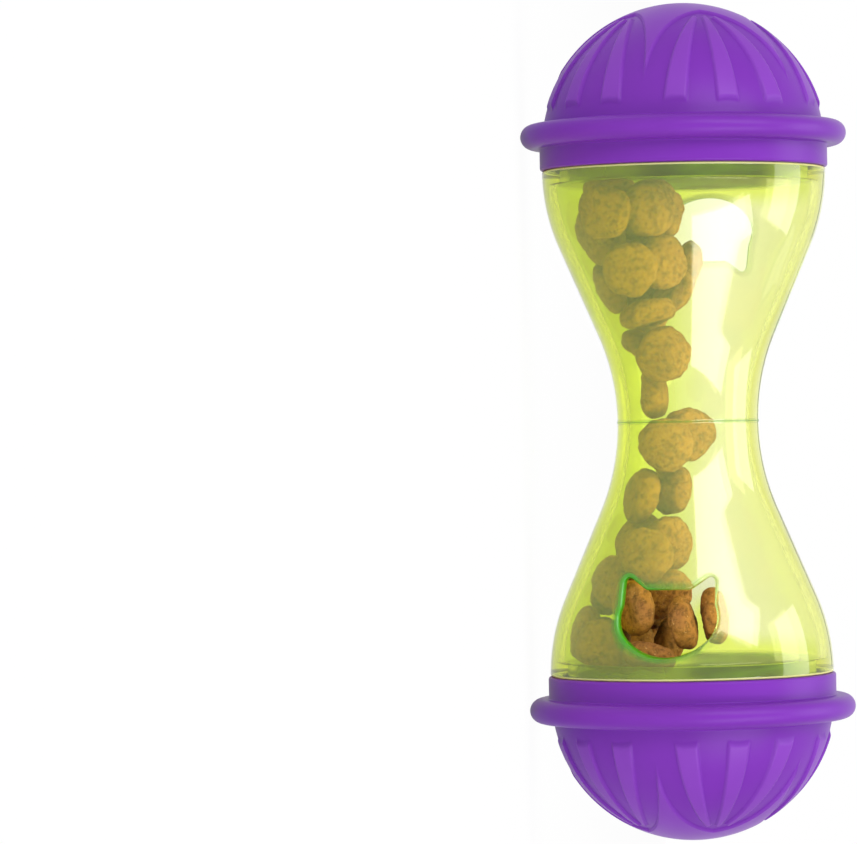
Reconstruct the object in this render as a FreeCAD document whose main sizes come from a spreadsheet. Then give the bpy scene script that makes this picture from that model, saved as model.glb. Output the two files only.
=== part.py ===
import FreeCAD, Part
import math
import os
import random
import Sketcher

# Hourglass treat dispenser for a cat, lying on its two rings as it does in play.
# The long axis runs along X, +Z is up and the origin is on the floor under the waist.
# A clear tube with a cat-head window in each half holds dry treats. A domed cap
# with a bumper ring and a skirt sits on the neck at each end of the tube.

SIZES = {
    # tube, with stations measured from the waist
    "waist_radius": 13.9,
    "mouth_radius": 27.9,
    "shoulder_station": 49.6,
    "flank_steepness": 1.513,
    "waist_curve_share": 0.53,
    "tube_wall": 2.5,
    # neck that carries a cap
    "neck_step": 2.5,
    "neck_wall": 2.3,
    "neck_length": 6.4,
    "bead_height": 0.4,
    "bead_width": 1.8,
    "bead_station": 2.8,
    "tube_edge_round": 0.5,
    # cat-head window
    "window_station": 38.0,
    "window_turn": 11.0,
    "brow_half_width": 4.3,
    "brow_height": 5.7,
    "ear_half_spread": 8.8,
    "ear_height": 9.0,
    "temple_half_width": 9.0,
    "temple_height": 2.6,
    "chin_drop": 7.1,
    "cheek_fullness": 0.6222,
    "chin_fullness": 1.2444,
    "ear_tip_round": 1.0,
    "brow_round": 1.8,
    "temple_round": 2.5,
    "window_edge_round": 0.9,
    # cap
    "cap_seat_gap": 0.1,
    "bead_clearance": 0.1,
    "skirt_wall": 2.4,
    "skirt_length": 4.3,
    "cap_edge_round": 0.5,
    "ring_reach": 3.75,
    "ring_thickness": 4.7,
    "dome_wall": 1.9,
    "relief_depth": 0.7,
    # raised pattern on the dome
    "fan_count": 5,
    "fan_turn": 19.0,
    "fan_apex_radius": 11.2,
    "fan_side_along": 14.9,
    "fan_side_across": 8.0,
    "finger_reach": 24.8,
    "pleat_start": 13.6,
    "pleat_reach": 26.9,
    "pleat_spread": 22.0,
    "pleat_start_width": 0.9,
    "pleat_end_width": 4.3,
    "pleat_start_spacing": 1.9,
    # treats
    "treat_diameter": 11.4,
    "treat_thickness": 5.6,
    "treat_count": 48,
    "treat_gap": 0.3,
    "way_out_half_width": 5.2,
    "way_out_setback": 0.9,
}


class Size:
    """A length or angle with the formula that gives it in the sheet."""

    def __init__(self, value, text):
        self.value = value
        self.text = text

    def _with(self, other, sign, reckon):
        if not isinstance(other, Size):
            other = Size(float(other), repr(float(other)))
        text = "(" + self.text + " " + sign + " " + other.text + ")"
        return Size(reckon(self.value, other.value), text)

    def __add__(self, other):
        return self._with(other, "+", lambda p, q: p + q)

    def __sub__(self, other):
        return self._with(other, "-", lambda p, q: p - q)

    def __mul__(self, other):
        return self._with(other, "*", lambda p, q: p * q)

    def __truediv__(self, other):
        return self._with(other, "/", lambda p, q: p / q)

    def degrees(self):
        return Size(math.radians(self.value), "(" + self.text + " * 1deg)")

    def sin(self):
        return Size(math.sin(self.value), "sin(" + self.text + ")")

    def cos(self):
        return Size(math.cos(self.value), "cos(" + self.text + ")")

    def atan(self):
        return Size(math.atan(self.value), "atan(" + self.text + ")")


def size(name):
    return Size(float(SIZES[name]), "Sizes." + name)


ZERO = Size(0.0, "0")


doc = FreeCAD.newDocument("treat_dispenser")
sheet = doc.addObject("Spreadsheet::Sheet", "Sizes")
for row, (name, value) in enumerate(SIZES.items(), start=1):
    sheet.set("A%d" % row, name)
    sheet.set("B%d" % row, str(value))
    sheet.setAlias("B%d" % row, name)
doc.recompute()

X_AXIS = FreeCAD.Vector(1, 0, 0)
Z_AXIS = FreeCAD.Vector(0, 0, 1)
NEAR = 0.01

# Lengths that several pieces share

waist = size("waist_radius")
mouth = size("mouth_radius")
shoulder = size("shoulder_station")
wall = size("tube_wall")
neck = mouth - size("neck_step")
neck_bore = neck - size("neck_wall")
bore = neck + size("bead_height") + size("bead_clearance")
recess = bore + size("dome_wall")
dome = recess + size("relief_depth")
skirt = bore + size("skirt_wall")
ring = skirt + size("ring_reach")
skirt_length = size("skirt_length")
cheek_curve = size("temple_half_width") * size("cheek_fullness")
chin_curve = size("temple_half_width") * size("chin_fullness")
treat_radius = size("treat_diameter") / 2
treat_edge = size("treat_thickness") / 2

# The flank between the waist arc and the mouth arc is a straight line. Its slope
# and the share of each arc settle both radii, so the outline is smooth for any size.
slope = (size("flank_steepness") * (mouth - waist) / shoulder).atan()
curves = (shoulder * slope.sin() - (mouth - waist) * slope.cos()) / (
    Size(1.0, "1") - slope.cos()
)
waist_curve = curves * size("waist_curve_share")
mouth_curve = curves - waist_curve


# Sketches

START, END, CENTRE = range(1, 4)
ORIGIN, LEVEL_AXIS, UPRIGHT_AXIS = -1, -1, -2


def set_size(thing, prop, length):
    setattr(thing, prop, length.value)
    thing.setExpression(prop, length.text)


def new_body(name):
    return doc.addObject("PartDesign::Body", name)


def origin_part(body, role):
    for feature in body.Origin.OriginFeatures:
        if feature.Role == role:
            return feature


def new_sketch(body, plane, name):
    sketch = body.newObject("Sketcher::SketchObject", name)
    sketch.AttachmentSupport = [(origin_part(body, plane), "")]
    sketch.MapMode = "FlatFace"
    return sketch


def hold(sketch, constraint, length):
    index = sketch.addConstraint(constraint)
    sketch.setExpression("Constraints[%d]" % index, length.text)


def pin(sketch, piece, point, along=None, up=None):
    """Holds a point at its distances from the sketch's origin."""
    for kind, length in (("DistanceX", along), ("DistanceY", up)):
        if length is not None:
            rule = Sketcher.Constraint(kind, ORIGIN, 1, piece, point, length.value)
            hold(sketch, rule, length)


def on_axis(sketch, piece, point, axis):
    sketch.addConstraint(Sketcher.Constraint("PointOnObject", piece, point, axis))


def set_radius(sketch, piece, length):
    hold(sketch, Sketcher.Constraint("Radius", piece, length.value), length)


def join(sketch, first, first_point, second, second_point):
    rule = Sketcher.Constraint("Coincident", first, first_point, second, second_point)
    sketch.addConstraint(rule)


def smooth(sketch, first, first_point, second, second_point):
    rule = Sketcher.Constraint("Tangent", first, first_point, second, second_point)
    sketch.addConstraint(rule)


def line(sketch, first, second):
    ends = [FreeCAD.Vector(p[0], p[1], 0) for p in (first, second)]
    return sketch.addGeometry(Part.LineSegment(*ends), False)


def arc(sketch, centre, reach, first, second):
    """An arc drawn anticlockwise from the direction of first to that of second."""
    turns = [math.atan2(p[1] - centre[1], p[0] - centre[0]) for p in (first, second)]
    circle = Part.Circle(FreeCAD.Vector(centre[0], centre[1], 0), Z_AXIS, reach)
    return sketch.addGeometry(Part.ArcOfCircle(circle, turns[0], turns[1]), False)


def curve_through(sketch, first, middle, last):
    """An arc through three points; gives its first and last end."""
    points = [FreeCAD.Vector(*plain(point), 0) for point in (first, middle, last)]
    piece = sketch.addGeometry(Part.Arc(*points), False)
    mark = sketch.addGeometry(Part.Point(points[1]), True)
    on_axis(sketch, mark, START, piece)
    pin(sketch, mark, START, *middle)
    starts_first = sketch.getPoint(piece, START).distanceToPoint(points[0]) < NEAR
    ends = [(piece, START), (piece, END)]
    return ends if starts_first else ends[::-1]


def plain(corner):
    return (corner[0].value, corner[1].value)


def polyline(sketch, corners, hold_first=True):
    """Straight lines through corners given as sizes, all but the last one held."""
    lines = [
        line(sketch, plain(first), plain(second))
        for first, second in zip(corners, corners[1:])
    ]
    for index, piece in enumerate(lines):
        if index:
            join(sketch, lines[index - 1], END, piece, START)
        if index or hold_first:
            pin(sketch, piece, START, *corners[index])
    return lines


def polygon(sketch, corners):
    lines = polyline(sketch, corners + corners[:1])
    join(sketch, lines[-1], END, lines[0], START)


def revolve(body, sketch, axis="H_Axis"):
    turned = body.newObject("PartDesign::Revolution", body.Name + "_turned")
    turned.Profile = sketch
    turned.ReferenceAxis = (sketch, [axis])
    turned.Angle = 360.0
    return turned


def pad(body, sketch, length):
    raised = body.newObject("PartDesign::Pad", body.Name + "_pad")
    raised.Profile = sketch
    set_size(raised, "Length", length)
    return raised


def round_edges(body, base, length, wanted):
    """Rounds the edges of a body's last feature that the test picks out."""
    names = [
        "Edge%d" % number
        for number, edge in enumerate(base.Shape.Edges, start=1)
        if wanted(edge)
    ]
    rounded = body.newObject("PartDesign::Fillet", body.Name + "_rounded")
    rounded.Base = (base, names)
    set_size(rounded, "Radius", length)
    return rounded


def is_ring(edge, radius, station):
    """Whether an edge is a circle of this radius about X at this station."""
    if edge.Degenerated or edge.Curve.TypeId != "Part::GeomCircle":
        return False
    return (
        abs(edge.Curve.Radius - radius) < NEAR
        and abs(abs(edge.Curve.Center.x) - station) < NEAR
    )


# Tube: half of its outline is turned about X and mirrored at the waist

tube_body = new_body("tube_body")
outline = new_sketch(tube_body, "XY_Plane", "tube_outline")

tilt = slope.value
low = (0.0, waist.value + waist_curve.value)
high = (shoulder.value, mouth.value - mouth_curve.value)


def flank(low_reach, high_reach):
    """The two points where the straight flank meets its arcs."""
    return (
        (low[0] + low_reach * math.sin(tilt), low[1] - low_reach * math.cos(tilt)),
        (high[0] - high_reach * math.sin(tilt), high[1] + high_reach * math.cos(tilt)),
    )


outer_flank = flank(waist_curve.value, mouth_curve.value)
inner_flank = flank(waist_curve.value + wall.value, mouth_curve.value - wall.value)
ledge = shoulder - wall
ledge_top = (
    ledge.value,
    high[1] + math.sqrt((mouth_curve - wall).value ** 2 - wall.value**2),
)

outer_waist = arc(outline, low, waist_curve.value, (0, 0), outer_flank[0])
outer_line = line(outline, *outer_flank)
outer_mouth = arc(
    outline, high, mouth_curve.value, (high[0], mouth.value), outer_flank[1]
)
bead_middle = shoulder + size("bead_station")
bead_half = size("bead_width") / 2
bead_slope = size("bead_height")
lip = shoulder + size("neck_length")
neck_lines = polyline(
    outline,
    [
        (shoulder, mouth),
        (shoulder, neck),
        (bead_middle - bead_half, neck),
        (bead_middle - bead_half + bead_slope, neck + size("bead_height")),
        (bead_middle + bead_half - bead_slope, neck + size("bead_height")),
        (bead_middle + bead_half, neck),
        (lip, neck),
        (lip, neck_bore),
        (ledge, neck_bore),
        (ledge, neck),
    ],
    hold_first=False,
)
inner_mouth = arc(
    outline, high, (mouth_curve - wall).value, ledge_top, inner_flank[1]
)
inner_line = line(outline, inner_flank[1], inner_flank[0])
inner_waist = arc(outline, low, (waist_curve + wall).value, (0, 0), inner_flank[0])
waist_cut = line(outline, (0, (waist - wall).value), (0, waist.value))

for piece, centre, reach in (
    (outer_waist, (None, waist + waist_curve), waist_curve),
    (inner_waist, (None, waist + waist_curve), waist_curve + wall),
    (outer_mouth, (shoulder, mouth - mouth_curve), mouth_curve),
    (inner_mouth, (shoulder, mouth - mouth_curve), mouth_curve - wall),
):
    pin(outline, piece, CENTRE, *centre)
    set_radius(outline, piece, reach)
for piece in (outer_waist, inner_waist):
    on_axis(outline, piece, CENTRE, UPRIGHT_AXIS)
    on_axis(outline, piece, START, UPRIGHT_AXIS)
smooth(outline, outer_waist, END, outer_line, START)
smooth(outline, outer_line, END, outer_mouth, END)
smooth(outline, inner_mouth, END, inner_line, START)
smooth(outline, inner_line, END, inner_waist, END)
join(outline, outer_mouth, START, neck_lines[0], START)
pin(outline, outer_mouth, START, shoulder)
join(outline, neck_lines[-1], END, inner_mouth, START)
pin(outline, neck_lines[-1], END, ledge)
join(outline, inner_waist, START, waist_cut, START)
join(outline, waist_cut, END, outer_waist, START)

half_tube = revolve(tube_body, outline)
whole_tube = tube_body.newObject("PartDesign::Mirrored", "tube_whole")
whole_tube.Originals = [half_tube]
whole_tube.MirrorPlane = (origin_part(tube_body, "YZ_Plane"), [""])
tube_body.Tip = whole_tube
doc.recompute()
round_edges(
    tube_body,
    whole_tube,
    size("tube_edge_round"),
    lambda edge: is_ring(edge, mouth.value, shoulder.value)
    or is_ring(edge, neck.value, lip.value)
    or is_ring(edge, neck_bore.value, lip.value),
)


# Cat-head windows: the chin points to the near mouth, the ears to the waist


def window_corners(side):
    """Temple, ear tip and brow on one side of the head."""
    return [
        (size("temple_height") * -1, size("temple_half_width") * side),
        (size("ear_height") * -1, size("ear_half_spread") * side),
        (size("brow_height") * -1, size("brow_half_width") * side),
    ]


def jaw_points(side):
    """Centre of a cheek arc that meets temple and chin arc, and its jaw point."""
    chin, cheek = chin_curve.value, cheek_curve.value
    middle = SIZES["chin_drop"] - chin
    temple = (-SIZES["temple_height"] - middle, SIZES["temple_half_width"])
    apart = math.hypot(*temple)
    along = (apart**2 + (chin - cheek) ** 2 - cheek**2) / (2 * apart)
    aside = math.sqrt((chin - cheek) ** 2 - along**2)
    centre = (
        (temple[0] * along + temple[1] * aside) / apart,
        (temple[1] * along - temple[0] * aside) / apart,
    )
    grow = chin / (chin - cheek)
    return (
        (middle + centre[0], centre[1] * side),
        (middle + centre[0] * grow, centre[1] * grow * side),
    )


def window_cutter(name, turn):
    """A prism of the window's outline that reaches from the axis past the wall."""
    body = new_body(name)
    head = new_sketch(body, "XZ_Plane", name + "_outline")
    right, left = window_corners(1), window_corners(-1)
    right_centre, right_jaw = jaw_points(1)
    left_centre, left_jaw = jaw_points(-1)
    chin_centre = (SIZES["chin_drop"] - chin_curve.value, 0)
    chin = arc(head, chin_centre, chin_curve.value, left_jaw, right_jaw)
    reach = cheek_curve.value
    right_cheek = arc(head, right_centre, reach, right_jaw, plain(right[0]))
    ears = polyline(head, right + left[::-1])
    left_cheek = arc(head, left_centre, reach, plain(left[0]), left_jaw)
    pin(head, chin, CENTRE, size("chin_drop") - chin_curve)
    on_axis(head, chin, CENTRE, LEVEL_AXIS)
    for piece, length in (
        (chin, chin_curve),
        (right_cheek, cheek_curve),
        (left_cheek, cheek_curve),
    ):
        set_radius(head, piece, length)
    smooth(head, chin, END, right_cheek, START)
    smooth(head, left_cheek, END, chin, START)
    join(head, right_cheek, END, ears[0], START)
    join(head, ears[-1], END, left_cheek, START)
    pin(head, ears[-1], END, *left[0])
    prism = pad(body, head, mouth + wall)
    doc.recompute()
    roundings = ("temple_round", "ear_tip_round", "brow_round")
    for corner, length in enumerate(roundings):
        marks = [plain(side[corner]) for side in (right, left)]

        def at_corner(edge):
            ends = [vertex.Point for vertex in edge.Vertexes]
            return any(
                all(math.hypot(p.x - x, p.z - z) < NEAR for p in ends)
                for x, z in marks
            )

        prism = round_edges(body, prism, size(length), at_corner)
        doc.recompute()
    offset = FreeCAD.Vector(SIZES["window_station"], 0, 0)
    quarter = FreeCAD.Rotation(Z_AXIS, turn)
    body.Placement = FreeCAD.Placement(quarter.multVec(offset), quarter)
    return body


cutters = [window_cutter("front_window", 0), window_cutter("back_window", 180)]
doc.recompute()

windows = doc.addObject("Part::MultiFuse", "windows")
windows.Shapes = cutters
pierced_tube = doc.addObject("Part::Cut", "pierced_tube")
pierced_tube.Base = tube_body
pierced_tube.Tool = windows
doc.recompute()


def outer_reach(station):
    """Radius of the tube's outer skin at a station."""
    along = abs(station)
    if along < outer_flank[0][0]:
        return low[1] - math.sqrt(waist_curve.value**2 - along**2)
    if along < outer_flank[1][0]:
        share = along - outer_flank[0][0]
        return outer_flank[0][1] + share * math.tan(tilt)
    return high[1] + math.sqrt(mouth_curve.value**2 - (high[0] - along) ** 2)


def is_window_rim(edge):
    """Whether an edge lies on a cutter's side and on the tube's outer skin."""
    middle = edge.valueAt((edge.FirstParameter + edge.LastParameter) / 2)
    if abs(math.hypot(middle.y, middle.z) - outer_reach(middle.x)) > 2 * NEAR:
        return False
    point = Part.Vertex(middle)
    return any(shell.distToShape(point)[0] < NEAR for shell in windows.Shape.Shells)


tube = doc.addObject("Part::Fillet", "tube")
tube.Base = pierced_tube
rim_round = SIZES["window_edge_round"]
tube.Edges = [
    (number, rim_round, rim_round)
    for number, edge in enumerate(pierced_tube.Shape.Edges, start=1)
    if is_window_rim(edge)
]
tube.Label = "tube"
axis_point = FreeCAD.Vector(0, 0, ring.value)
tube_turn = FreeCAD.Rotation(X_AXIS, SIZES["window_turn"])
tube.Placement = FreeCAD.Placement(axis_point, tube_turn)


# Caps: the local X axis points outward and starts at the skirt's free edge

half_fan = (Size(180.0, "180") / size("fan_count")).degrees()
ring_half = size("ring_thickness") / 2
ring_top = skirt_length + size("ring_thickness")


def cap_shell(name):
    """Skirt, bumper ring and hollow dome, turned about the cap's axis."""
    body = new_body(name)
    side = new_sketch(body, "XY_Plane", name + "_outline")
    centre = (skirt_length.value, 0.0)
    crown = (centre[0] + recess.value, 0.0)
    ceiling = (centre[0] + bore.value, 0.0)
    foot = (ring_top.value, math.sqrt(recess.value**2 - SIZES["ring_thickness"] ** 2))
    rim = ring - ring_half
    walls = polyline(
        side,
        [
            (skirt_length, bore),
            (ZERO, bore),
            (ZERO, skirt),
            (skirt_length, skirt),
            (skirt_length, rim),
        ],
        hold_first=False,
    )
    edge = arc(
        side,
        (ring_top.value - ring_half.value, rim.value),
        ring_half.value,
        (ring_top.value, rim.value),
        (centre[0], rim.value),
    )
    above = line(side, (ring_top.value, rim.value), foot)
    over = arc(side, centre, recess.value, crown, foot)
    through = line(side, crown, ceiling)
    under = arc(side, centre, bore.value, ceiling, (centre[0], bore.value))
    smooth(side, walls[-1], END, edge, END)
    smooth(side, edge, START, above, START)
    join(side, above, END, over, END)
    join(side, over, START, through, START)
    join(side, through, END, under, START)
    join(side, under, END, walls[0], START)
    pin(side, edge, CENTRE, skirt_length + ring_half, rim)
    set_radius(side, edge, ring_half)
    pin(side, above, END, ring_top)
    pin(side, over, CENTRE, skirt_length)
    on_axis(side, over, CENTRE, LEVEL_AXIS)
    set_radius(side, over, recess)
    on_axis(side, over, START, LEVEL_AXIS)
    pin(side, under, CENTRE, skirt_length)
    on_axis(side, under, CENTRE, LEVEL_AXIS)
    set_radius(side, under, bore)
    on_axis(side, under, START, LEVEL_AXIS)
    pin(side, under, END, skirt_length)
    turned = revolve(body, side)
    doc.recompute()
    round_edges(
        body,
        turned,
        size("cap_edge_round"),
        lambda edge: is_ring(edge, skirt.value, 0.0),
    )
    return body


def pleat_corners(side):
    """A strip that widens from the fan's top to a square end near the ring."""
    lean = (size("pleat_spread") * side).degrees()
    start = (size("pleat_start"), size("pleat_start_spacing") * side)
    end = (size("pleat_reach") * lean.cos(), size("pleat_reach") * lean.sin())
    corners = []
    for middle, width, way in (
        (start, "pleat_start_width", -1),
        (end, "pleat_end_width", -1),
        (end, "pleat_end_width", 1),
        (start, "pleat_start_width", 1),
    ):
        step = size(width) / 2 * way
        corners.append(
            (middle[0] - step * lean.sin(), middle[1] + step * lean.cos())
        )
    return corners


def relief(name):
    """One fan's share of the star and its pleats, padded and repeated round X."""
    body = new_body(name)
    body.AllowCompound = True
    plan = new_sketch(body, "YZ_Plane", name + "_plan")
    reach = size("finger_reach")
    tip = (reach * half_fan.cos(), reach * half_fan.sin())
    low_tip = (tip[0], tip[1] * -1)
    top = (size("fan_apex_radius"), ZERO)
    spokes = polyline(plan, [tip, (ZERO, ZERO), low_tip])
    middle = (size("fan_side_along"), size("fan_side_across"))
    low_side = curve_through(plan, low_tip, (middle[0], middle[1] * -1), top)
    high_side = curve_through(plan, top, middle, tip)
    join(plan, spokes[0], START, *high_side[1])
    join(plan, spokes[-1], END, *low_side[0])
    join(plan, *low_side[1], *high_side[0])
    pin(plan, *low_side[0], *low_tip)
    pin(plan, low_side[1][0], low_side[1][1], top[0])
    on_axis(plan, *low_side[1], LEVEL_AXIS)
    for spread in (-1, 0, 1):
        polygon(plan, pleat_corners(spread))
    raised = pad(body, plan, skirt_length + dome)
    fans = body.newObject("PartDesign::PolarPattern", name + "_fans")
    fans.Originals = [raised]
    fans.Axis = (plan, ["N_Axis"])
    fans.Angle = 360.0
    fans.Occurrences = int(SIZES["fan_count"])
    fans.setExpression("Occurrences", "Sizes.fan_count")
    body.Tip = fans
    return body


def sphere(name, radius):
    ball = doc.addObject("Part::Sphere", name)
    set_size(ball, "Radius", radius)
    ball.Placement.Base = FreeCAD.Vector(skirt_length.value, 0, 0)
    ball.setExpression("Placement.Base.x", skirt_length.text)
    return ball


def cap(name, turn):
    """A cap on the neck; the turn about Z sends it to either end of the tube."""
    shell = cap_shell(name + "_shell")
    pattern = relief(name + "_relief")
    skin = doc.addObject("Part::Cut", name + "_skin")
    skin.Base = sphere(name + "_outer", dome)
    skin.Tool = sphere(name + "_core", recess - size("dome_wall") / 2)
    raised = doc.addObject("Part::Common", name + "_raised")
    raised.Base = skin
    raised.Tool = pattern
    whole = doc.addObject("Part::Fuse", name)
    whole.Base = shell
    whole.Tool = raised
    whole.Refine = True
    whole.Label = name
    # the middle of a fan faces -Y, lifted towards +Z by the fan's turn
    lift = SIZES["fan_turn"]
    fan_way = 180 - lift if turn == 0 else lift
    spin = FreeCAD.Rotation(X_AXIS, fan_way)
    end_turn = FreeCAD.Rotation(Z_AXIS, turn)
    start = FreeCAD.Vector((shoulder + size("cap_seat_gap")).value, 0, 0)
    place = end_turn.multVec(start) + FreeCAD.Vector(0, 0, ring.value)
    whole.Placement = FreeCAD.Placement(place, end_turn * spin)
    return whole


right_cap = cap("cap_right", 0)
left_cap = cap("cap_left", 180)


# Treats: rounded discs poured in and settled into a bed on the lower wall


def inner_reach(station):
    """Radius of the tube's inner skin at a station, and its slope."""
    along = min(abs(station), ledge.value)
    if along < inner_flank[0][0]:
        curve = (waist_curve + wall).value
        height = math.sqrt(curve**2 - along**2)
        reach, rise = low[1] - height, along / height
    elif along < inner_flank[1][0]:
        rise = math.tan(tilt)
        reach = inner_flank[0][1] + (along - inner_flank[0][0]) * rise
    else:
        curve = (mouth_curve - wall).value
        height = math.sqrt(curve**2 - (high[0] - along) ** 2)
        reach, rise = high[1] + height, (high[0] - along) / height
    return reach, math.copysign(rise, station)


def dot(p, q):
    return p[0] * q[0] + p[1] * q[1] + p[2] * q[2]


def cross(p, q):
    return (
        p[1] * q[2] - p[2] * q[1],
        p[2] * q[0] - p[0] * q[2],
        p[0] * q[1] - p[1] * q[0],
    )


def shifted(p, q, share=1.0):
    return (p[0] + q[0] * share, p[1] + q[1] * share, p[2] + q[2] * share)


def unit(p):
    reach = math.sqrt(dot(p, p)) or 1.0
    return (p[0] / reach, p[1] / reach, p[2] / reach)


FLAT = (treat_radius - treat_edge).value
EDGE = treat_edge.value
GAP = SIZES["treat_gap"]
TURNING = treat_radius.value**2 / 4 + (2 * EDGE) ** 2 / 12
SLANT = (0.31, 0.83, 0.46)
SINKING_ROUNDS = 260
PARTING_ROUNDS = 600
SINKING_LOOKS = 5
PARTING_LOOKS = 10
FIRST_DROP = 0.35
SEEN_WEIGHT = 0.002
POURED_LEVEL = -0.215
POURED_STATION = 0.385
SIDEWAYS = 0.35
UPPER_SHARE = 0.48
POUR_SEED = 4

# The treats that show from the front. Each has a station as a share of the
# shoulder's, a level as a share of the mouth's radius, how near the front wall it
# lies (1 is against it, 0 is in the middle) and the way its flat side faces.
SEEN_TREATS = [
    (-0.935, -0.502, 0.2, (1.0, 0.0, 0.1)),
    (-0.827, -0.538, 1.0, (0.1, -1.0, -0.2)),
    (-0.823, -0.308, 0.45, (0.2, -1.0, 0.2)),
    (-0.827, -0.179, 0.0, (0.2, -0.8, 0.5)),
    (-0.710, -0.616, 0.9, (-0.2, -0.8, -0.5)),
    (-0.573, -0.387, 1.0, (0.1, -1.0, -0.1)),
    (-0.653, -0.176, 0.25, (0.0, -0.9, 0.5)),
    (-0.423, -0.330, 1.0, (1.0, -0.5, 0.0)),
    (-0.262, -0.201, 1.0, (0.1, -1.0, 0.1)),
    (-0.093, -0.294, -0.3, (0.0, -0.3, -1.0)),
    (0.032, -0.086, -0.4, (0.1, -0.9, 0.3)),
    (0.101, -0.186, 1.0, (0.1, -1.0, 0.1)),
    (0.248, -0.136, -0.2, (0.2, 0.6, 0.8)),
    (0.294, -0.323, 0.5, (-0.1, -0.5, -0.9)),
    (0.540, -0.344, 1.0, (0.2, -1.0, -0.1)),
    (0.476, -0.172, 0.2, (0.0, -0.9, 0.5)),
    (0.625, -0.523, 0.4, (-0.2, -0.8, -0.5)),
    (0.754, -0.430, 0.95, (0.0, -0.5, -0.8)),
    (0.653, -0.229, 0.3, (0.5, -0.8, 0.3)),
    (0.800, -0.050, 0.85, (0.1, -0.3, 0.9)),
    (0.762, 0.122, 0.7, (0.0, -0.2, 1.0)),
    (0.899, -0.287, 0.8, (0.8, -0.4, -0.3)),
    (0.867, -0.581, 0.8, (0.1, -1.0, -0.2)),
]


class Treat:
    """A disc with a full round edge: its middle and the way its flat side faces."""

    def __init__(self, middle, facing, weight=1.0):
        self.middle = middle
        self.facing = unit(facing)
        self.weight = weight

    def nearest(self, point):
        """The point of the flat core that lies nearest to a point."""
        away = shifted(point, self.middle, -1.0)
        away = shifted(away, self.facing, -dot(away, self.facing))
        reach = math.sqrt(dot(away, away))
        if reach > FLAT:
            away = (away[0] * FLAT / reach, away[1] * FLAT / reach, away[2] * FLAT / reach)
        return shifted(self.middle, away)

    def rim(self, count):
        """Points round the rim of the flat core."""
        aside = unit(cross(self.facing, SLANT))
        ahead = cross(self.facing, aside)
        for number in range(count):
            turn = 2 * math.pi * number / count
            point = shifted(self.middle, aside, FLAT * math.cos(turn))
            yield shifted(point, ahead, FLAT * math.sin(turn))

    def give(self, point, way):
        """How easily a push on this point moves it, as a share of a free mass."""
        lever = cross(shifted(point, self.middle, -1.0), way)
        return self.weight * (1.0 + dot(lever, lever) / TURNING)

    def push(self, point, way, far):
        """Moves and turns the treat as a push on one of its points does."""
        lever = cross(shifted(point, self.middle, -1.0), way)
        self.middle = shifted(self.middle, way, far * self.weight)
        turn = cross(lever, self.facing)
        self.facing = unit(shifted(self.facing, turn, far * self.weight / TURNING))


def closest(first, second, looks):
    """The two nearest points of two flat cores, found by looking to and fro."""
    point = first.nearest(second.middle)
    for _ in range(looks):
        other = second.nearest(point)
        point = first.nearest(other)
    return point, other


def part_pair(first, second, looks):
    """Pushes two treats apart where they are nearer than their gap."""
    point, other = closest(first, second, looks)
    way = shifted(point, other, -1.0)
    apart = math.sqrt(dot(way, way))
    short = 2 * EDGE + GAP - apart
    if short <= 0:
        return 0.0
    way = unit(way if apart > 0.001 else shifted(first.middle, second.middle, -1.0))
    share = short / (first.give(point, way) + second.give(other, way))
    first.push(point, way, share)
    second.push(other, way, -share)
    return short


# The space behind each window that the treats leave free
WAY_OUT_HALF = SIZES["way_out_half_width"]
WAY_OUT_DEPTH = (
    inner_reach(SIZES["window_station"] - WAY_OUT_HALF)[0] - SIZES["way_out_setback"]
)
WAY_OUT_LEVEL = WAY_OUT_DEPTH * math.sin(math.radians(SIZES["window_turn"]))


def limits(point):
    """Ways and distances by which a point of a treat's core oversteps the tube."""
    reach, rise = inner_reach(point[0])
    out = math.hypot(point[1], point[2]) or 1.0
    lean = math.hypot(1.0, rise)
    keep = EDGE + GAP
    yield (
        (rise / lean, -point[1] / out / lean, -point[2] / out / lean),
        keep - (reach - out) / lean,
    )
    end = math.copysign(1.0, point[0])
    along = max(ledge.value - abs(point[0]), 0.0)
    inward = max(neck_bore.value - out, 0.0)
    clear = math.hypot(along, inward)
    if clear > 0:
        share = inward / clear / out
        way = (-end * along / clear, -point[1] * share, -point[2] * share)
        yield way, keep - clear
    else:
        yield (-end, 0.0, 0.0), keep + abs(point[0]) - ledge.value
    yield (-end, 0.0, 0.0), keep + abs(point[0]) - shoulder.value
    station = abs(point[0]) - SIZES["window_station"]
    level = point[2] + end * WAY_OUT_LEVEL
    if max(abs(station), abs(level)) < WAY_OUT_HALF + EDGE:
        yield (0.0, end, 0.0), keep - end * point[1] - WAY_OUT_DEPTH


def part_wall(treat):
    """Pushes a treat back inside the tube."""
    worst = 0.0
    for point in list(treat.rim(8)) + [treat.middle]:
        for way, short in limits(point):
            if short > 0:
                treat.push(point, way, short / treat.give(point, way))
                worst = max(worst, short)
    return worst


def near_pairs(treats):
    reach = 2 * (treat_radius.value + GAP)
    pairs = []
    for number, first in enumerate(treats):
        for second in treats[number + 1 :]:
            away = shifted(first.middle, second.middle, -1.0)
            if dot(away, away) < reach * reach:
                pairs.append((first, second))
    return pairs


def seen_treat(station_share, level_share, nearness, facing):
    """A treat in its place against or behind the tube's front wall."""
    station = station_share * shoulder.value
    level = level_share * mouth.value
    room = inner_reach(station)[0] - EDGE - GAP
    depth = math.sqrt(max(room**2 - level**2, 0.0)) - FLAT
    return Treat((station, -max(depth, 0.0) * nearness, level), facing, SEEN_WEIGHT)


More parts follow.
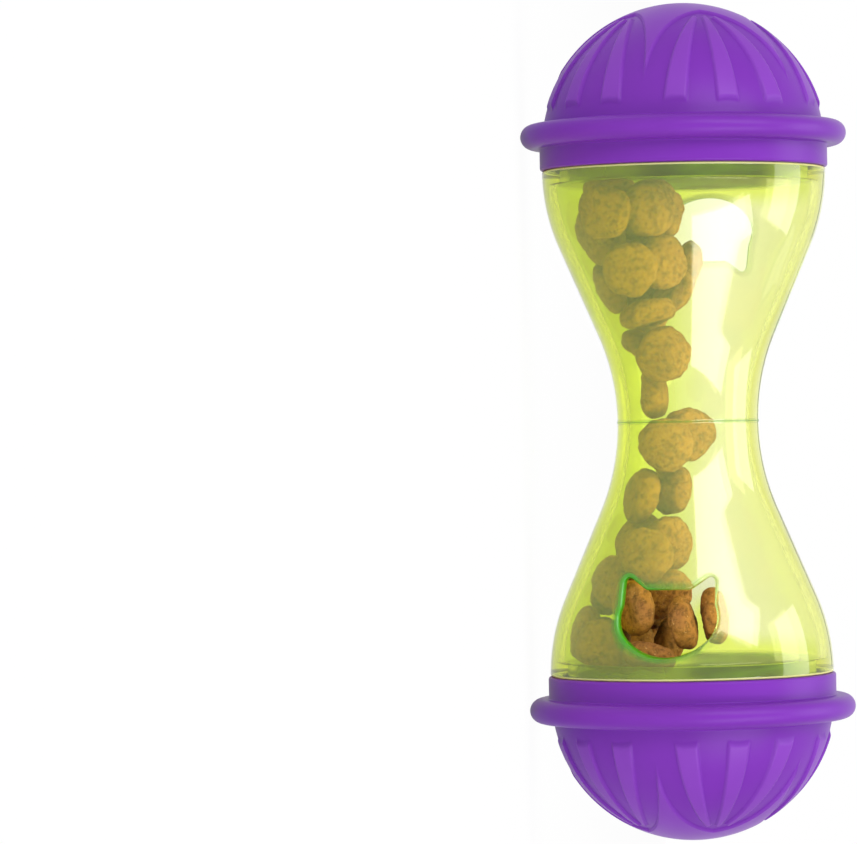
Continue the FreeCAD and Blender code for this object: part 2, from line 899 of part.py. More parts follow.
def poured_treat(chance, half):
    """A treat at a random place in one half, or None where the tube is too narrow."""
    far = shoulder.value - EDGE
    along = chance.uniform(POURED_STATION * shoulder.value, far) * half
    room = inner_reach(along)[0] - EDGE
    across = chance.uniform(-room * 0.2, room)
    up = chance.uniform(-room, POURED_LEVEL * mouth.value)
    if math.hypot(across, up) < room:
        return Treat((along, across, up), [chance.gauss(0, 1) for _ in range(3)])


def settled_treats():
    """Pours treats behind the ones seen and lets them sink and part by turns."""
    chance = random.Random(POUR_SEED)
    count = int(SIZES["treat_count"])
    treats = [seen_treat(*place) for place in SEEN_TREATS[:count]]
    while len(treats) < count:
        upper_share = sum(treat.middle[0] < 0 for treat in treats) / len(treats)
        treat = poured_treat(chance, -1 if upper_share < UPPER_SHARE else 1)
        if treat:
            treats.append(treat)
    poured = treats[len(SEEN_TREATS) :]
    for turn in range(SINKING_ROUNDS + PARTING_ROUNDS):
        sinking = turn < SINKING_ROUNDS
        if sinking:
            drop = FIRST_DROP * (1.0 - turn / SINKING_ROUNDS)
            for treat in poured:
                treat.middle = shifted(treat.middle, (0.0, drop * SIDEWAYS, -drop))
        worst = 0.0
        looks = SINKING_LOOKS if sinking else PARTING_LOOKS
        for first, second in near_pairs(treats):
            worst = max(worst, part_pair(first, second, looks))
        for treat in treats:
            worst = max(worst, part_wall(treat))
        if not sinking and worst < GAP * 0.2:
            break
    return treats


def treat_body(name, treat):
    """A disc with a full round edge, turned about its own Z axis."""
    body = new_body(name)
    half = new_sketch(body, "XZ_Plane", name + "_outline")
    flat = treat_radius - treat_edge
    base = polyline(
        half, [(ZERO, treat_edge), (ZERO, treat_edge * -1), (flat, treat_edge * -1)]
    )
    edge = arc(
        half,
        (flat.value, 0.0),
        treat_edge.value,
        (flat.value, -treat_edge.value),
        (flat.value, treat_edge.value),
    )
    top = line(half, (flat.value, treat_edge.value), (0.0, treat_edge.value))
    join(half, base[-1], END, edge, START)
    join(half, edge, END, top, START)
    join(half, top, END, base[0], START)
    pin(half, base[-1], END, flat, treat_edge * -1)
    pin(half, edge, CENTRE, flat)
    on_axis(half, edge, CENTRE, LEVEL_AXIS)
    pin(half, edge, END, flat)
    revolve(body, half, "V_Axis")
    turn = FreeCAD.Rotation(Z_AXIS, FreeCAD.Vector(*treat.facing))
    middle = FreeCAD.Vector(*treat.middle) + FreeCAD.Vector(0, 0, ring.value)
    body.Placement = FreeCAD.Placement(middle, turn)
    return body


treat_bodies = [
    treat_body("treat_%02d" % number, treat)
    for number, treat in enumerate(settled_treats(), start=1)
]
doc.recompute()


# Checks and files

nodes = [tube, right_cap, left_cap] + treat_bodies
for thing in doc.Objects:
    if "Invalid" in thing.State or "Error" in thing.State:
        raise RuntimeError("failed: %s %s" % (thing.Name, thing.State))
for node in nodes:
    if node.Shape.isNull() or not node.Shape.isValid() or len(node.Shape.Solids) != 1:
        raise RuntimeError("not one sound solid: " + node.Label)
os.makedirs("parts", exist_ok=True)
for node in nodes:
    node.Shape.exportStep("parts/" + node.Label + ".step")
    print(node.Label, round(node.Shape.Volume, 1), "mm3")
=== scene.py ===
import math
import random

import bmesh
import bpy
import numpy as np
from mathutils import Matrix, Vector, noise


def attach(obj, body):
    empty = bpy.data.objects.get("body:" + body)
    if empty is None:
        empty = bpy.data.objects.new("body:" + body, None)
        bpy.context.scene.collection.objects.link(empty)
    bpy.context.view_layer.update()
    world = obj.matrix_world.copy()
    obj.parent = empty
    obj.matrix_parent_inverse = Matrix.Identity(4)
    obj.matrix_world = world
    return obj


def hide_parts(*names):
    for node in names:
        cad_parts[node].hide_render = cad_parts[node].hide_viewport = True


# The toy lies on its two bumper rings with its long axis along X. Its lengths are in
# millimetres, as in the CAD source, and new_piece() turns them into metres. Shaders,
# floor, lights and camera are in metres. Places along X are measured from the waist.

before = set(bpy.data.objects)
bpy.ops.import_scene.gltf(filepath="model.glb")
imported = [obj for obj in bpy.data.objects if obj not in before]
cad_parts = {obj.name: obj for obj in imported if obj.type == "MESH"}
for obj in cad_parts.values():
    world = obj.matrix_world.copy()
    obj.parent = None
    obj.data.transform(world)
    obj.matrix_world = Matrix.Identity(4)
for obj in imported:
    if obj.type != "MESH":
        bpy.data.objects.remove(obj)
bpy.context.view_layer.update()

MM = 0.001

# Tube: radii of waist, mouth, neck and bore, and places of shoulder, lip and bead.
# The skin is a waist curve, a straight flank at TILT and a mouth curve, and
# CURVES is the sum of the two curves' radii.
WAIST, MOUTH, SHOULDER = 13.9, 27.9, 49.6
FLANK_STEEPNESS, WAIST_SHARE = 1.513, 0.53
TILT = math.atan(FLANK_STEEPNESS * (MOUTH - WAIST) / SHOULDER)
CURVES = (SHOULDER * math.sin(TILT) - (MOUTH - WAIST) * math.cos(TILT)) / (
    1.0 - math.cos(TILT)
)
WAIST_CURVE = WAIST_SHARE * CURVES
MOUTH_CURVE = CURVES - WAIST_CURVE
WALL = 2.5
NECK, NECK_BORE, LIP = 25.4, 23.1, 56.0
LEDGE = SHOULDER - WALL
LEDGE_MIDDLE, LEDGE_GAP = 24.2, 0.05
BORE_FIRST, BORE_LAST = 54.0, 49.0
BEAD_MIDDLE, BEAD_WIDTH, BEAD_HEIGHT = 52.4, 1.8, 0.38
EDGE_ROUND, CORNER_ROUND = 0.5, 0.3
OUTER_ROWS, INNER_ROWS, TUBE_COLUMNS = 64, 60, 288

# Parting lines: the ridge round the waist, and one along each half, in degrees
RIDGE_STEP, RIDGE_HEIGHT = 0.12, 0.09
LINE_TOP, LINE_FOOT, LINE_HEIGHT = 0.35, 0.7, 0.07
# Painted green glow on the waist ridge, and how far from the waist it reaches
PAINTED_RIDGE_GLOW, PAINTED_RIDGE_REACH = 0.4, 0.2

# Window: points (u, z) of a cat head, with u towards the near mouth. The arcs of chin
# and cheek are shares of the temple's half width. The patch of skin that is built anew
# round a window is given by half its turn, in degrees, and by its start and ends.
WINDOW_STATION, WINDOW_TURN = 38.0, 11.0
TEMPLE, EAR, BROW = np.array([[-2.6, 9.0], [-9.0, 8.8], [-5.7, 4.3]])
CHIN = 7.1
CHIN_SHARE, CHEEK_SHARE = 1.2444, 0.6222
TEMPLE_ROUND, EAR_ROUND, BROW_ROUND = 2.5, 1.0, 1.8
OUTLINE_STEP, ROUND_POINTS, ROUND_CLEARANCE = 0.35, 7, 0.3
RIM_ROUND, INNER_RIM_ROUND = 0.9, 0.35
RIM_RINGS, INNER_RIM_RINGS, CUT_SHARES = 7, 5, (0.25, 0.5, 0.75)
PATCH_HALF_TURN = 37.6
PATCH_START, OUTER_PATCH_END, INNER_PATCH_END = 25.5, 48.6, 46.6
PATCH_BANDS, BAND_GROWTH = 14, 1.4

# How much painted green glow each ring of the rim carries, and the first bands of the
# outer skin round it. Both grow less with height over the window's middle.
PAINTED_RIM_GLOW = [0.6, 0.7, 0.8, 0.9, 1.0, 1.0, 1.0, 1.0, 1.0, 1.0, 0.7, 0.4, 0.1, 0.0, 0.0]
PAINTED_NEAR_GLOW = {1: 0.5, 2: 0.35, 3: 0.12}
GLOW_AT_MIDDLE, GLOW_PER_MM, LEAST_GLOW = 0.62, 0.05, 0.22

# Painted shade and light at the tube's ends. A shade of 0.5 is the deepest painted
# lime, and more is painted mossy shadow. The pool is a painted oval of deep lime (x, z)
# on the wall behind, and the neck patches are heights over the axis where a patch
# starts, is full, fades and ends.
DEEP_LIME, FULL_SHADOW = 0.5, 0.75
CORNER_START, CORNER_END = 41.5, 46.0
POOL_MIDDLE, POOL_REACH, POOL_FADE = (41.0, 3.5), (9.5, 6.5), 0.7
BEHIND_AXIS = 2.0
NECK_START, NECK_SHADE, NECK_PATCH_SHADE = LEDGE - 0.1, 0.59, 0.14
LEFT_NECK_PATCH, RIGHT_NECK_PATCH = (-16.0, -4.0, 14.0, 22.0), (-6.0, 3.0, 15.0, 23.0)
END_LIGHT, LIGHT_START, LIGHT_END = 0.65, SHOULDER - 0.4, SHOULDER + 0.05
LIGHT_INNER = NECK + 1.0

# Cap: places along it are measured from its open end
CAP_START = SHOULDER + 0.1
SKIRT_LENGTH, SKIRT, BORE = 4.3, 28.3, 25.9
RING, RING_THICKNESS = 32.05, 4.7
AXIS_HEIGHT = RING
RECESS, RELIEF = 27.8, 0.5
BORE_EDGE_ROUND, SKIRT_EDGE_ROUND, RING_FILLET, UNDER_RING = 0.35, 0.5, 0.3, 0.7
BORE_PLACES, SKIRT_PLACES = (3.0, 1.5), (1.5, 2.6)
DOME_FOOT = [(0.0, 1.0), (0.0, 0.55), (0.08, 0.2), (0.28, -0.02)]
DOME_START, CROWN_TURN, CEILING_TURN = 0.5, 0.35, 0.5
CEILING_ROWS, DOME_ROWS, CAP_COLUMNS = 40, 150, 640

# Pattern on the dome, in plan: a star, and fans of three pleats between its points
FAN_TURN, FAN_COUNT = 19.0, 5
STAR_TIP, STAR_HOLLOW, STAR_SIDE = 24.8, 11.2, (14.9, 8.0)
PLEAT_START, PLEAT_SPREAD, PLEAT_END, PLEAT_LEAN = 13.6, 1.9, 26.9, 22.0
PLEAT_TIP, PLEAT_FOOT = 0.45, 2.15
PATTERN_SOFTNESS = 0.2

# Treats: their surface is noise in three sizes, each with a scale and a depth
TREAT_COUNT, TREAT_RADIUS, TREAT_HALF = 48, 5.7, 2.8
SEED, BALL_LEVEL = 7, 5
ROUNDEST, SQUAREST = 2.3, 2.8
SHIFT_REACH = 50
LUMP_SCALE, KNOB_SCALE, CRUMB_SCALE = 0.22, 0.6, 1.9
CRUMB_ROUGHNESS, CRUMB_STEP, CRUMB_LAYERS = 0.9, 2.0, 3
INSET, LUMP_DEPTH, KNOB_DEPTH, CRUMB_DEPTH = 0.32, 0.75, 0.32, 0.13
LEAST_INWARD, MOST_INWARD = -0.02, 1.4
RIM_SHARE = 0.985
# Painted shade where treats crowd: its reach in mm and its strength
CROWD_REACH, CROWD_SHADE = 4.8, 0.7

# Clear plastic: it is pale above TINT_TOP and deep below TINT_FOOT, heights in metres
# The deeper tint low down is painted shade; CORNER_TINT is painted deep-lime light
PALE_TINT, DEEP_TINT = (1.0, 1.0, 0.97, 1.0), (0.80, 0.885, 0.17, 1.0)
CORNER_TINT, HAZE_COLOUR = (0.80, 0.95, 0.05, 1.0), (0.78, 0.93, 0.10, 1.0)
TINT_TOP, TINT_FOOT, HAZE = 0.040, 0.018, 0.055
SHADOW_TINT, DEPTH_TINT = (0.84, 0.91, 0.43, 1.0), (0.953, 0.958, 0.60, 1.0)

# Floor and lights
WHITE = (1.0, 1.0, 1.0, 1.0)
FLOOR_SIZE, FLOOR_GREY = 8.0, 0.93
FLOOR_WHITENESS, FLOOR_IN_MIRRORS = 0.97, 0.6
AMBIENT = 0.24
SIDE_BOX_X, SIDE_BOX_Y, SIDE_BOX_Z = 0.541, -0.693, 0.555
SIDE_BOX_SIZE, SIDE_BOX_WATTS = (0.45, 0.94), 5.7
TOP_BOX_PLACE, TOP_BOX_SIZE, TOP_BOX_WATTS = (0.0, 0.05, 0.95), (0.7, 0.5), 3.1

# Camera: the toy's middle lies at MIDDLE_X, MIDDLE_Y in the photograph's pixels
IMAGE_WIDTH, IMAGE_HEIGHT = 857, 844
MIDDLE_X, MIDDLE_Y = 688.0, 421.5
PIXELS_PER_METRE = 5079.0
DISTANCE, ROLL = 0.89, -1.0
SENSOR = 36.0
CLIP_START, CLIP_END = 0.01, 20.0


def new_piece(name, points, faces, body, stands_for, material, attributes):
    """A smooth-shaded mesh piece that rides on a body in place of a CAD node."""
    mesh = bpy.data.meshes.new(name)
    mesh.from_pydata((np.asarray(points, float) * MM).tolist(), [], faces)
    edit = bmesh.new()
    edit.from_mesh(mesh)
    bmesh.ops.recalc_face_normals(edit, faces=edit.faces)
    edit.to_mesh(mesh)
    edit.free()
    mesh.shade_smooth()
    for label, values in attributes.items():
        layer = mesh.attributes.new(label, "FLOAT", "POINT")
        layer.data.foreach_set("value", np.asarray(values, np.float32))
    mesh.materials.append(material)
    piece = bpy.data.objects.new(name, mesh)
    bpy.context.scene.collection.objects.link(piece)
    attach(piece, body)
    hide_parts(stands_for)


def on_circle(centre, radius, turns):
    """Points on a circle at the given turns, in radians."""
    return [
        (centre[0] + radius * math.cos(t), centre[1] + radius * math.sin(t))
        for t in turns
    ]


def arc(centre, radius, start, end, count):
    """Points (x, r) on an arc, with angles in degrees from the x direction."""
    return on_circle(centre, radius, np.radians(np.linspace(start, end, count)))


def quad(row, ahead, column, columns):
    """The face between two rows of a turned grid, from one column to the next."""
    aside = (column + 1) % columns
    return [
        row * columns + column,
        row * columns + aside,
        ahead * columns + aside,
        ahead * columns + column,
    ]


def eased(values, start, end):
    """A smooth rise from 0 at the start to 1 at the end."""
    share = np.clip((values - start) / (end - start), 0.0, 1.0)
    return share * share * (3.0 - 2.0 * share)


# Shader nodes


def maker(tree):
    """Empties a node tree and gives a function that adds nodes and fills their inputs."""
    tree.nodes.clear()

    def make(kind, inputs=None, **settings):
        node = tree.nodes.new(kind)
        for key, value in settings.items():
            setattr(node, key, value)
        for key, value in (inputs or {}).items():
            if isinstance(value, bpy.types.NodeSocket):
                tree.links.new(value, node.inputs[key])
            else:
                node.inputs[key].default_value = value
        return node

    return make


def new_material(name):
    """A new material and the maker of its nodes."""
    material = bpy.data.materials.new(name)
    material.use_nodes = True
    return material, maker(material.node_tree)


def linear(red, green, blue):
    """A colour given in 0 to 255 steps, as the shaders take it."""
    steps = [v / 255 for v in (red, green, blue)]
    light = [v / 12.92 if v <= 0.04045 else ((v + 0.055) / 1.055) ** 2.4 for v in steps]
    return (*light, 1.0)


def attribute(make, name):
    """The value that a mesh carries at each point under a name."""
    return make("ShaderNodeAttribute", attribute_name=name).outputs["Fac"]


def mixed(make, factor, first, second, blend="MIX"):
    """Two colours mixed or multiplied by a factor."""
    node = make(
        "ShaderNodeMix",
        {0: factor, 6: first, 7: second},
        data_type="RGBA",
        blend_type=blend,
    )
    return node.outputs[2]


def ramp(make, source, stops):
    """A value turned into colours, or greys where a stop gives one number."""
    node = make("ShaderNodeValToRGB", {"Fac": source})
    band = node.color_ramp
    while len(band.elements) < len(stops):
        band.elements.new(0.5)
    for element, (place, level) in zip(band.elements, stops):
        element.position = place
        element.color = level if isinstance(level, tuple) else (level,) * 3 + (1.0,)
    return node.outputs["Color"]


def ranged(make, value, start=0.0, end=1.0, low=0.0, high=1.0, kind="LINEAR"):
    """A value moved from the range start to end into the range low to high."""
    node = make(
        "ShaderNodeMapRange",
        {
            "Value": value,
            "From Min": start,
            "From Max": end,
            "To Min": low,
            "To Max": high,
        },
        interpolation_type=kind,
    )
    return node.outputs["Result"]


def worked_out(make, operation, first, second):
    """The result of a math node with two values."""
    return make("ShaderNodeMath", {0: first, 1: second}, operation=operation).outputs[0]


def noise_of(make, where, scale, detail, roughness=0.5, distortion=0.0):
    """Soft random spots, more of them to a metre the larger the scale is."""
    node = make(
        "ShaderNodeTexNoise",
        {
            "Vector": where,
            "Scale": scale,
            "Detail": detail,
            "Roughness": roughness,
            "Distortion": distortion,
        },
    )
    return node.outputs["Fac"]


def bumped(make, height, strength, distance, below=None):
    """A normal that follows a height, on top of the bumps below."""
    inputs = {"Height": height, "Strength": strength, "Distance": distance}
    if below is not None:
        inputs["Normal"] = below
    return make("ShaderNodeBump", inputs).outputs["Normal"]


def diffuse(make, colour):
    """A plain matte shader."""
    return make("ShaderNodeBsdfDiffuse", {"Color": colour}).outputs["BSDF"]


def principled(make, inputs):
    """The standard shader with some of its inputs filled."""
    return make("ShaderNodeBsdfPrincipled", inputs).outputs["BSDF"]


def blended(make, share, first, second):
    """A shader that goes from the first to the second with a share."""
    inputs = {0: share, 1: first, 2: second}
    return make("ShaderNodeMixShader", inputs).outputs["Shader"]


# Materials


def cap_plastic():
    """Satin violet, with painted shade: a little lighter on the raised pattern than in the
    recesses.
    """
    material, make = new_material("violet_plastic")
    where = make("ShaderNodeTexCoord").outputs["Object"]
    cloud = noise_of(make, where, 60.0, detail=3.0)
    grain = noise_of(make, where, 2600.0, detail=2.0)
    raised = attribute(make, "raised")
    # Painted shade: the recesses are darker than the raised pattern
    base = mixed(make, raised, linear(119, 46, 172), linear(131, 62, 182))
    shade = ramp(make, cloud, [(0.3, 0.94), (0.7, 1.0)])
    surface = principled(
        make,
        {
            "Base Color": mixed(make, 1.0, base, shade, "MULTIPLY"),
            "Roughness": ranged(make, cloud, low=0.32, high=0.40),
            "IOR": 1.42,
            "Specular IOR Level": 0.22,
            "Normal": bumped(make, grain, strength=0.05, distance=0.0002),
        },
    )
    make("ShaderNodeOutputMaterial", {"Surface": surface})
    return material


def clear_lime(make, where, shade):
    """Clear plastic, deeper in colour by painted shade low down and by painted light in
    the thick inner corners.
    """
    cloud = noise_of(make, where, 45.0, detail=2.0)
    height = make("ShaderNodeSeparateXYZ", {"Vector": where}).outputs["Z"]
    # Painted shade: the tint deepens towards the toy's lower side
    low = ranged(make, height, TINT_TOP, TINT_FOOT, kind="SMOOTHSTEP")
    tint = mixed(make, low, PALE_TINT, DEEP_TINT)
    # Painted deep-lime light in the back wall's inner corners and pool
    corner = ranged(make, shade, end=DEEP_LIME)
    clear = principled(
        make,
        {
            "Base Color": mixed(make, corner, tint, CORNER_TINT),
            "Roughness": ranged(make, cloud, low=0.01, high=0.03),
            "IOR": 1.06,
            "Transmission Weight": 1.0,
            "Coat Weight": 1.0,
            "Coat Roughness": 0.07,
            "Coat IOR": 1.62,
            "Normal": bumped(make, cloud, strength=0.08, distance=0.0008),
        },
    )
    return blended(make, HAZE, clear, diffuse(make, HAZE_COLOUR))


def neck_shadow(make, where, depth):
    """A painted shadow: the streaky mossy dark that shows through the shoulder from the
    capped neck.
    """
    inputs = {"Vector": where, "Scale": (1.6, 0.3, 0.3)}
    stretched = make("ShaderNodeMapping", inputs).outputs["Vector"]
    streak = noise_of(make, stretched, 240.0, detail=2.0, roughness=0.4, distortion=0.3)
    dark, middle, light = linear(26, 52, 3), linear(60, 100, 8), linear(98, 146, 14)
    mossy_shadow = ramp(make, streak, [(0.35, dark), (0.55, middle), (0.7, light)])
    return diffuse(make, mixed(make, depth, linear(210, 232, 30), mossy_shadow))


def tube_plastic():
    """Lime plastic with a painted green edge glow, painted end light and painted neck
    shade.
    """
    material, make = new_material("lime_plastic")
    where = make("ShaderNodeTexCoord").outputs["Object"]
    shade = attribute(make, "cap_shade")
    clear = clear_lime(make, where, shade)
    # Painted green glow, an opaque green on the window rim and the waist ridge
    edge = principled(
        make,
        {
            "Base Color": linear(46, 156, 6),
            "Roughness": 0.3,
            "Coat Weight": 0.3,
            "Coat Roughness": 0.1,
        },
    )
    rimmed = blended(make, attribute(make, "painted_edge_glow"), clear, edge)
    # Painted cream highlight on the shoulder edge beside each cap
    painted_highlight = diffuse(make, linear(246, 242, 170))
    ended = blended(make, attribute(make, "end_light"), rimmed, painted_highlight)
    # Painted mossy shadow in the necks, over the deepest lime
    depth = ranged(make, shade, DEEP_LIME, FULL_SHADOW)
    solid = blended(make, depth, ended, neck_shadow(make, where, depth))
    see_through = make("ShaderNodeBsdfTransparent", {"Color": SHADOW_TINT})
    shadow_ray = make("ShaderNodeLightPath").outputs["Is Shadow Ray"]
    surface = blended(make, shadow_ray, solid, see_through.outputs["BSDF"])
    inputs = {"Color": DEPTH_TINT, "Density": 280.0}
    inside = make("ShaderNodeVolumeAbsorption", inputs).outputs["Volume"]
    make("ShaderNodeOutputMaterial", {"Surface": surface, "Volume": inside})
    return material


def kibble():
    """Baked brown crumb with blotches and specks, painted shade in its pits and where
    treats crowd.
    """
    material, make = new_material("baked_kibble")
    where = make("ShaderNodeTexCoord").outputs["Object"]
    blotch = noise_of(make, where, 170.0, detail=3.0, roughness=0.6)
    crumb = noise_of(make, where, 900.0, detail=5.0, roughness=0.65)
    speck = noise_of(make, where, 2300.0, detail=2.0)
    tone = mixed(make, blotch, linear(136, 84, 38), linear(194, 133, 70))
    # Painted shade: darker in the hollows of the pitted bump
    pits = ramp(make, crumb, [(0.36, 0.45), (0.55, 1.0)])
    tone = mixed(make, 1.0, tone, pits, "MULTIPLY")
    bright = ramp(make, speck, [(0.66, 0.0), (0.74, 0.55)])
    tone = mixed(make, bright, tone, linear(226, 180, 120))
    # Painted shade where the treats crowd each other
    shade = ramp(make, attribute(make, "painted_crowd_shade"), [(0.3, 1.0), (0.85, 0.08)])
    pitted = bumped(make, crumb, strength=0.55, distance=0.0006)
    surface = principled(
        make,
        {
            "Base Color": mixed(make, 1.0, tone, shade, "MULTIPLY"),
            "Roughness": 0.82,
            "IOR": 1.4,
            "Normal": bumped(make, speck, strength=0.35, distance=0.0003, below=pitted),
        },
    )
    make("ShaderNodeOutputMaterial", {"Surface": surface})
    return material


# Tube


def skin(x, depth):
    """Radius at x of the tube's outer skin, moved inward by depth along its normal."""
    along = np.abs(x)
    low, high = WAIST_CURVE + depth, MOUTH_CURVE - depth
    low_end, high_end = low * math.sin(TILT), SHOULDER - high * math.sin(TILT)
    start = WAIST + WAIST_CURVE - low * math.cos(TILT)
    waist_part = WAIST + WAIST_CURVE - np.sqrt(np.maximum(low**2 - along**2, 0.0))
    flank = start + (along - low_end) * math.tan(TILT)
    reach = np.maximum(high**2 - (SHOULDER - along) ** 2, 0.0)
    mouth_part = MOUTH - MOUTH_CURVE + np.sqrt(reach)
    return np.where(
        along < low_end, waist_part, np.where(along < high_end, flank, mouth_part)
    )


def front_of(plan, depth):
    """The y of points (x, z) on the front of the skin, before it is turned."""
    return -np.sqrt(skin(plan[:, 0], depth) ** 2 - plan[:, 1] ** 2)


def end_profile():
    """Outline (x, r) of shoulder, neck, bead, lip and ledge at the right end."""
    shoulder_x = SHOULDER - EDGE_ROUND
    shoulder_r = float(skin(shoulder_x, 0.0)) - EDGE_ROUND
    points = arc((shoulder_x, shoulder_r), EDGE_ROUND, 90, 0, 6)
    corner = (SHOULDER + CORNER_ROUND, NECK + CORNER_ROUND)
    points += arc(corner, CORNER_ROUND, 180, 270, 4)
    for share in np.linspace(0.0, 1.0, 9):
        rise = BEAD_HEIGHT * math.sin(math.pi * share)
        points.append((BEAD_MIDDLE + BEAD_WIDTH * (share - 0.5), NECK + rise))
    points += arc((LIP - EDGE_ROUND, NECK - EDGE_ROUND), EDGE_ROUND, 90, 0, 5)
    points += arc((LIP - EDGE_ROUND, NECK_BORE + EDGE_ROUND), EDGE_ROUND, 0, -90, 5)
    points += [(x, NECK_BORE) for x in np.linspace(BORE_FIRST, BORE_LAST, 4)]
    corner = (LEDGE + CORNER_ROUND, NECK_BORE + CORNER_ROUND)
    points += arc(corner, CORNER_ROUND, 270, 180, 4)
    points += [(LEDGE, LEDGE_MIDDLE), (LEDGE, float(skin(LEDGE, WALL)) - LEDGE_GAP)]
    return points


def tube_rows():
    """The closed outline, with the numbers of its outer and inner rows."""
    ridge_foot = 3 * RIDGE_STEP
    ridge_places = [RIDGE_STEP, 2 * RIDGE_STEP, ridge_foot]
    reach = np.linspace(0.0, SHOULDER - EDGE_ROUND, OUTER_ROWS)[1:-1]
    half = np.unique(np.concatenate([ridge_places, reach]))
    outer_x = np.concatenate([-half[::-1], [0.0], half])
    inner_half = np.linspace(0.0, LEDGE, INNER_ROWS)[1:-1]
    inner_x = np.concatenate([inner_half[::-1], [0.0], -inner_half])
    ridge = np.interp(
        np.abs(outer_x), [0.0, RIDGE_STEP, ridge_foot], [RIDGE_HEIGHT, RIDGE_HEIGHT, 0.0]
    )
    outer = list(zip(outer_x, skin(outer_x, 0.0) + ridge))
    inner = list(zip(inner_x, skin(inner_x, WALL)))
    right = end_profile()
    left = [(-x, r) for x, r in right[::-1]]
    first_inner = len(outer) + len(right)
    return (
        np.array(outer + right + inner + left),
        np.arange(len(outer)),
        np.arange(first_inner, first_inner + len(inner)),
    )


def column_angles():
    """Angles in degrees round the tube, with a few more at its two parting lines."""
    base = np.arange(TUBE_COLUMNS) * 360.0 / TUBE_COLUMNS - 180.0
    off = (-LINE_FOOT, -LINE_TOP, LINE_TOP, LINE_FOOT)
    near = [side * 90.0 + step for side in (-1, 1) for step in off]
    return np.sort(np.concatenate([base, near]))


def rounded_corner(before, corner, after, radius):
    """Points of a curve that rounds a corner between two neighbouring points."""
    back = (before - corner) / np.linalg.norm(before - corner)
    ahead = (after - corner) / np.linalg.norm(after - corner)
    half = math.acos(max(-1.0, min(1.0, float(back @ ahead)))) / 2
    reach = radius / math.tan(half)
    start, end = corner + back * reach, corner + ahead * reach
    pull = 1.0 - 4.0 / 3.0 * math.tan((math.pi - 2 * half) / 4) * math.tan(half)
    first, second = corner + back * reach * pull, corner + ahead * reach * pull
    return [
        start * (1 - t) ** 3
        + first * 3 * t * (1 - t) ** 2
        + second * 3 * t * t * (1 - t)
        + end * t**3
        for t in np.linspace(0.0, 1.0, ROUND_POINTS)
    ]


def window_outline():
    """The closed cat-head outline: chin and cheek arcs, temple, ear and brow."""
    chin_reach, cheek_reach = CHIN_SHARE * TEMPLE[1], CHEEK_SHARE * TEMPLE[1]
    middle = CHIN - chin_reach
    way = (TEMPLE[0] - middle, TEMPLE[1])
    apart = math.hypot(*way)
    gap = chin_reach - cheek_reach
    along = (apart**2 + gap**2 - cheek_reach**2) / (2 * apart)
    aside = math.sqrt(gap**2 - along**2)
    cheek = (
        middle + (way[0] * along + way[1] * aside) / apart,
        (way[1] * along - way[0] * aside) / apart,
    )
    jaw_turn = math.atan2(cheek[1], cheek[0] - middle)
    temple_turn = math.atan2(TEMPLE[1] - cheek[1], TEMPLE[0] - cheek[0])
    jaw = on_circle((middle, 0.0), chin_reach, np.linspace(0.0, jaw_turn, 12))
    jaw += on_circle(cheek, cheek_reach, np.linspace(jaw_turn, temple_turn, 14)[1:])
    # the cheek arc runs up to the rounded temple
    lean = np.array([-math.sin(temple_turn), math.cos(temple_turn)])
    temple = rounded_corner(TEMPLE - lean, TEMPLE, EAR, TEMPLE_ROUND)
    cut = np.linalg.norm(temple[0] - TEMPLE) + ROUND_CLEARANCE
    side = [p for p in np.array(jaw) if np.linalg.norm(p - TEMPLE) > cut]
    side += temple
    side += rounded_corner(TEMPLE, EAR, BROW, EAR_ROUND)
    mirrored = np.array([1.0, -1.0])
    side += rounded_corner(EAR, BROW, BROW * mirrored, BROW_ROUND)
    side.append(np.array([BROW[0], 0.0]))
    other = [p * mirrored for p in side[-2:0:-1]]
    return evened(np.array(side + other), OUTLINE_STEP)


def evened(loop, step):
    """A closed outline with its points set at an even spacing."""
    closed = np.vstack([loop, loop[:1]])
    steps = np.linalg.norm(np.diff(closed, axis=0), axis=1)
    lengths = np.concatenate([[0.0], np.cumsum(steps)])
    count = int(round(lengths[-1] / step))
    places = np.arange(count) * lengths[-1] / count
    return np.stack([np.interp(places, lengths, closed[:, k]) for k in (0, 1)], axis=1)


def outward(loop):
    """Unit directions that point out of a closed outline, away from the hole."""
    after = np.roll(loop, -1, axis=0)
    run = after - np.roll(loop, 1, axis=0)
    run = run / np.linalg.norm(run, axis=1)[:, None]
    side = np.stack([run[:, 1], -run[:, 0]], axis=1)
    twice_area = np.sum(loop[:, 0] * after[:, 1] - loop[:, 1] * after[:, 0])
    return side if twice_area > 0 else -side


def shares(loop):
    """How far along a closed outline each of its points lies, from 0 to 1."""
    steps = np.linalg.norm(np.roll(loop, -1, axis=0) - loop, axis=1)
    return np.concatenate([[0.0], np.cumsum(steps)[:-1]]) / steps.sum()


def bearings(loop, middle):
    """Direction of each point from the middle, rising steadily along the outline."""
    turn = np.arctan2(loop[:, 1] - middle[1], loop[:, 0] - middle[0])
    return np.unwrap(turn) / (2 * math.pi)


